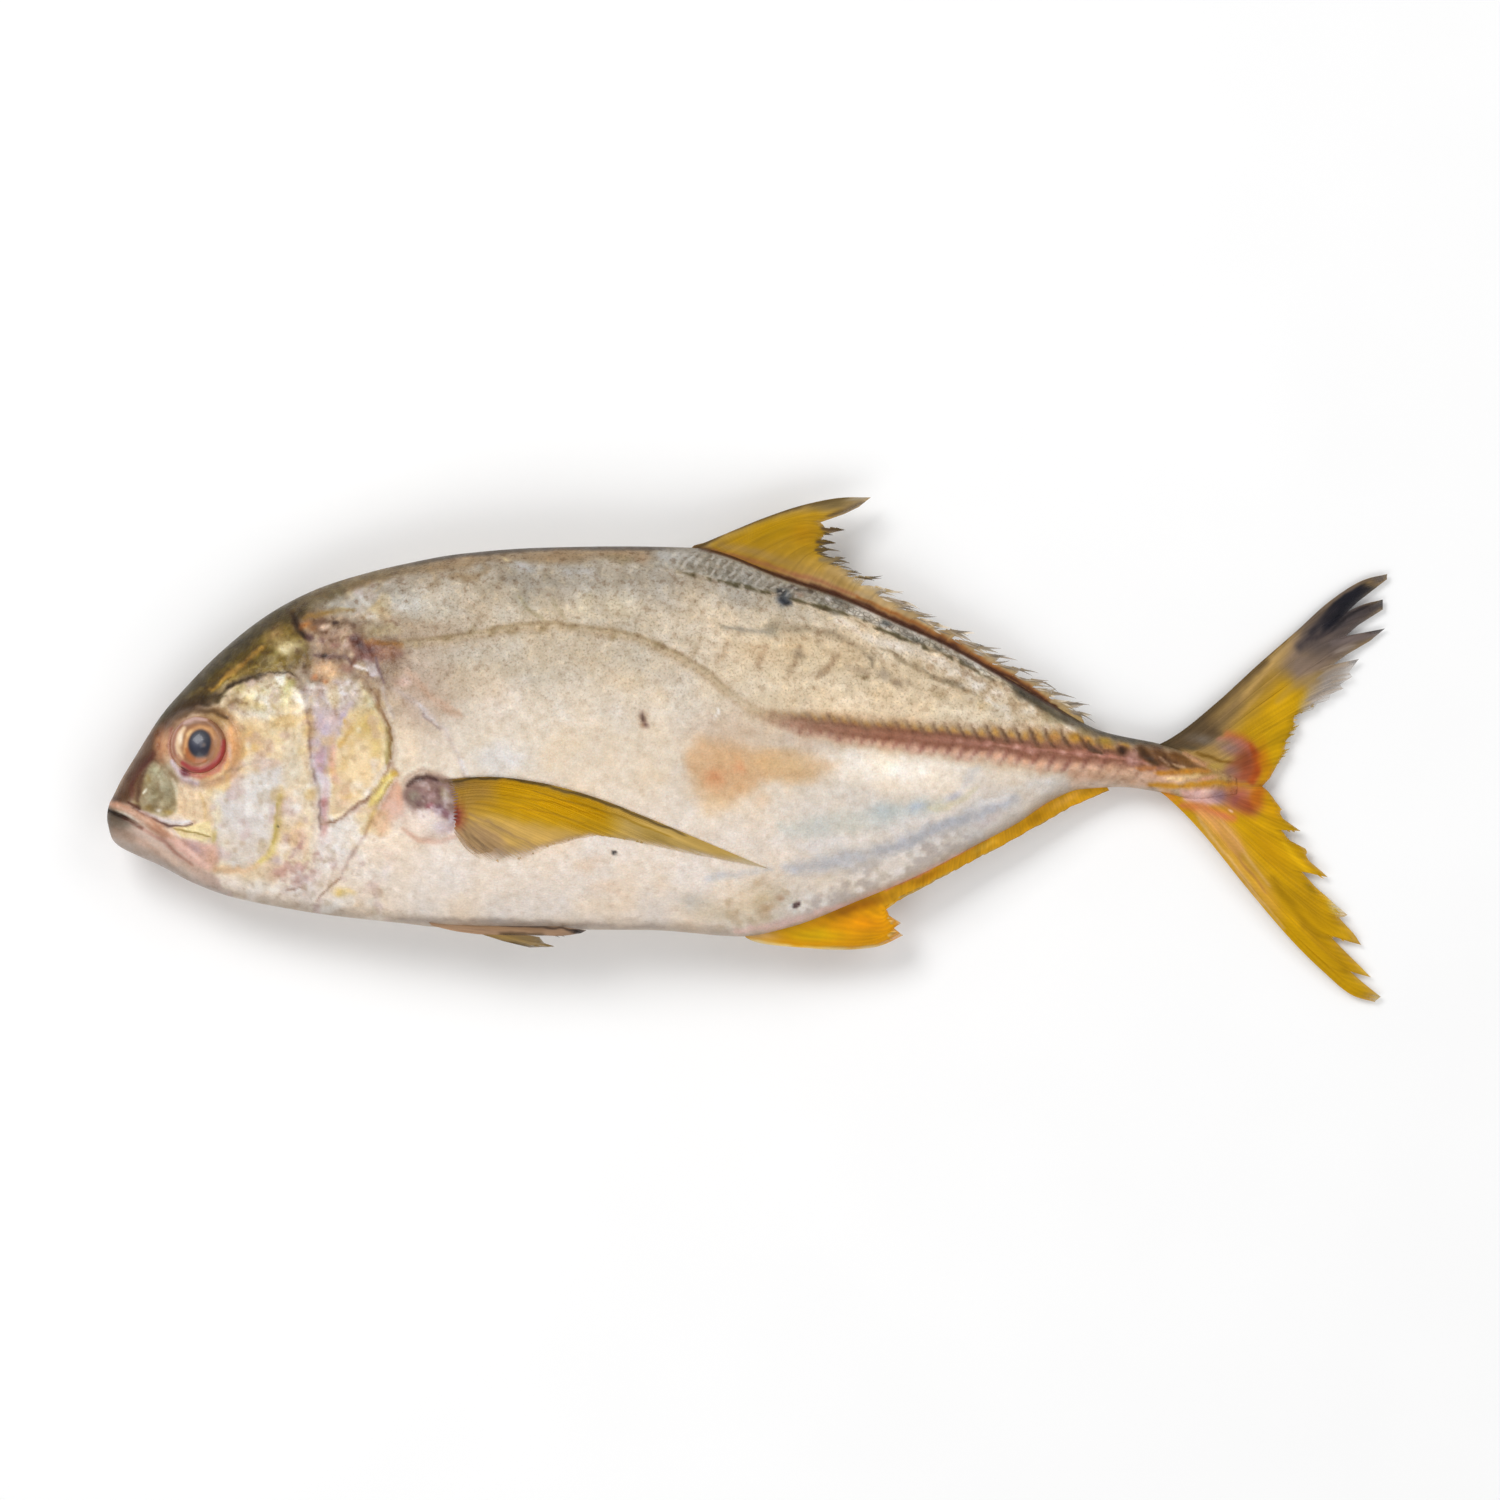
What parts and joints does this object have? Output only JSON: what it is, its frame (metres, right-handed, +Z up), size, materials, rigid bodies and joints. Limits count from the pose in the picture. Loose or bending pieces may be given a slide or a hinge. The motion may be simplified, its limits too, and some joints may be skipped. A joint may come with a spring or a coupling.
{
  "type": "whole raw fish",
  "caption": "Whole raw jack lying on its side: deep narrow silvery body, steep dark forehead, forked yellow tail, sickle side fin and torn fin edges.",
  "frame": {"origin": "middle of the bounding box's bottom face, on the plane that the fish lies on", "axes": "+X from the snout to the tail, +Y from the belly to the back, +Z up, out of the shown left side"},
  "size_m": [0.36, 0.142, 0.0457],
  "materials": {
    "skin": "wet, silvery cream skin with small scales, grey-brown back, yellow fins",
    "fin": "translucent wet yellow membrane over fine rays, dark at the torn tips",
    "eye": "glossy clear cornea over a gold iris and a blue-black pupil"
  },
  "bodies": {
    "root": {"fish": "skin", "eye_left": "eye", "eye_right": "eye"}
  },
  "joints": []
}
